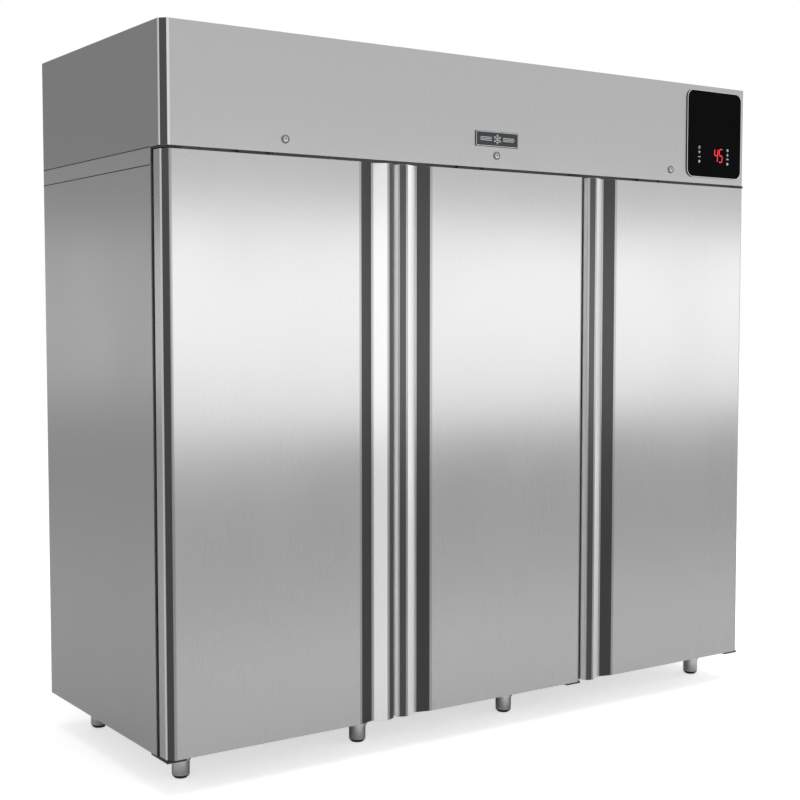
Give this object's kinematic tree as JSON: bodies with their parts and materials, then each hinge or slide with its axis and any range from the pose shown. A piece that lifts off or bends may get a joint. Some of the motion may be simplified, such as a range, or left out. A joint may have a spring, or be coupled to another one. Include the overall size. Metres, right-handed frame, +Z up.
{
  "type": "reach in refrigerator",
  "caption": "Stainless-steel upright reach-in refrigerator with side-by-side full-height doors, formed vertical handles, a header with control panel, and adjustable feet.",
  "frame": {"origin": "on the floor, under the middle of the whole object's bounding box", "axes": "+X to the right along the doors, +Y from the doors to the back, +Z up"},
  "size_m": [2.15, 0.838, 2.008],
  "materials": {
    "stainless": "satin",
    "stainless_inner": "satin",
    "galvanised": "matte",
    "foam": "matte",
    "gasket_rubber": "matte",
    "black_gloss": "gloss",
    "black_plastic": "satin",
    "badge_grey": "satin",
    "chrome": "polished",
    "shelf_wire": "polished",
    "aluminium": "satin",
    "black_paint": "satin"
  },
  "bodies": {
    "cabinet": {"outer_wrap": "stainless", "top_pan": "stainless", "cabinet_insulation": "foam", "inner_liner": "stainless_inner", "front_frame": "stainless", "base_panel": "stainless", "header_surround": "stainless", "header_rear_panel": "galvanised", "control_panel": "black_gloss", "badge_plate": "badge_grey", "hinge_bottom_1": "black_paint", "hinge_top_1": "chrome", "hinge_bottom_2": "black_paint", "hinge_top_2": "chrome", "hinge_bottom_3": "black_paint", "hinge_top_3": "chrome", "shelf_rack_left": "stainless_inner", "shelf_rack_centre_left": "stainless_inner", "shelf_rack_centre_right": "stainless_inner", "shelf_rack_right": "stainless_inner", "shelf_1_1": "shelf_wire", "shelf_1_2": "shelf_wire", "shelf_1_3": "shelf_wire", "shelf_2_1": "shelf_wire", "shelf_2_2": "shelf_wire", "shelf_2_3": "shelf_wire", "shelf_3_1": "shelf_wire", "shelf_3_2": "shelf_wire", "shelf_3_3": "shelf_wire", "evaporator_housing": "aluminium", "evaporator_coil": "aluminium", "condenser_coil": "aluminium", "condenser_shroud": "black_paint", "compressor": "black_paint", "electrical_box": "galvanised"},
    "door_1": {"door_1_skin": "stainless", "door_1_foam_core": "foam", "door_1_inner_pan": "stainless_inner", "door_1_gasket": "gasket_rubber"},
    "door_2": {"door_2_skin": "stainless", "door_2_foam_core": "foam", "door_2_inner_pan": "stainless_inner", "door_2_gasket": "gasket_rubber"},
    "door_3": {"door_3_skin": "stainless", "door_3_foam_core": "foam", "door_3_inner_pan": "stainless_inner", "door_3_gasket": "gasket_rubber"},
    "lock_1": {"door_lock_1": "chrome"},
    "lock_2": {"door_lock_2": "chrome"},
    "lock_3": {"door_lock_3": "chrome"},
    "adjustable_leg_1": {"leg_1": "stainless"},
    "adjustable_leg_2": {"leg_2": "stainless"},
    "adjustable_leg_3": {"leg_3": "stainless"},
    "adjustable_leg_4": {"leg_4": "stainless"},
    "adjustable_leg_5": {"leg_5": "stainless"},
    "adjustable_leg_6": {"leg_6": "stainless"},
    "adjustable_leg_7": {"leg_7": "stainless"},
    "adjustable_leg_8": {"leg_8": "stainless"},
    "evaporator_fan": {"evaporator_fan": "black_plastic"},
    "condenser_fan": {"condenser_fan": "aluminium"}
  },
  "joints": [
    {"name": "door_1_hinge", "type": "hinge", "parent": "cabinet", "child": "door_1", "pos_m": [-1.05, -0.387, 0.892], "axis": [0, 0, -1], "range_deg": [0, 100]},
    {"name": "door_2_hinge", "type": "hinge", "parent": "cabinet", "child": "door_2", "pos_m": [0.33333, -0.387, 0.892], "axis": [0, 0, 1], "range_deg": [0, 100]},
    {"name": "door_3_hinge", "type": "hinge", "parent": "cabinet", "child": "door_3", "pos_m": [1.05, -0.387, 0.892], "axis": [0, 0, 1], "range_deg": [0, 100]},
    {"name": "lock_1_turn", "type": "hinge", "parent": "cabinet", "child": "lock_1", "pos_m": [-0.71667, -0.411, 1.727], "axis": [0, 1, 0], "range_deg": [0, 90]},
    {"name": "lock_2_turn", "type": "hinge", "parent": "cabinet", "child": "lock_2", "pos_m": [0, -0.411, 1.727], "axis": [0, 1, 0], "range_deg": [0, 90]},
    {"name": "lock_3_turn", "type": "hinge", "parent": "cabinet", "child": "lock_3", "pos_m": [0.71667, -0.411, 1.727], "axis": [0, 1, 0], "range_deg": [0, 90]},
    {"name": "leg_1_adjust", "type": "slide", "parent": "cabinet", "child": "adjustable_leg_1", "axis": [0, 0, -1], "range_m": [0, 0.035]},
    {"name": "leg_2_adjust", "type": "slide", "parent": "cabinet", "child": "adjustable_leg_2", "axis": [0, 0, -1], "range_m": [0, 0.035]},
    {"name": "leg_3_adjust", "type": "slide", "parent": "cabinet", "child": "adjustable_leg_3", "axis": [0, 0, -1], "range_m": [0, 0.035]},
    {"name": "leg_4_adjust", "type": "slide", "parent": "cabinet", "child": "adjustable_leg_4", "axis": [0, 0, -1], "range_m": [0, 0.035]},
    {"name": "leg_5_adjust", "type": "slide", "parent": "cabinet", "child": "adjustable_leg_5", "axis": [0, 0, -1], "range_m": [0, 0.035]},
    {"name": "leg_6_adjust", "type": "slide", "parent": "cabinet", "child": "adjustable_leg_6", "axis": [0, 0, -1], "range_m": [0, 0.035]},
    {"name": "leg_7_adjust", "type": "slide", "parent": "cabinet", "child": "adjustable_leg_7", "axis": [0, 0, -1], "range_m": [0, 0.035]},
    {"name": "leg_8_adjust", "type": "slide", "parent": "cabinet", "child": "adjustable_leg_8", "axis": [0, 0, -1], "range_m": [0, 0.035]},
    {"name": "evaporator_fan_spin", "type": "hinge", "parent": "cabinet", "child": "evaporator_fan", "pos_m": [0, 0.124, 1.534], "axis": [0, 0, 1], "continuous": true},
    {"name": "condenser_fan_spin", "type": "hinge", "parent": "cabinet", "child": "condenser_fan", "pos_m": [0.3, -0.138, 1.8213], "axis": [0, 1, 0], "continuous": true}
  ]
}
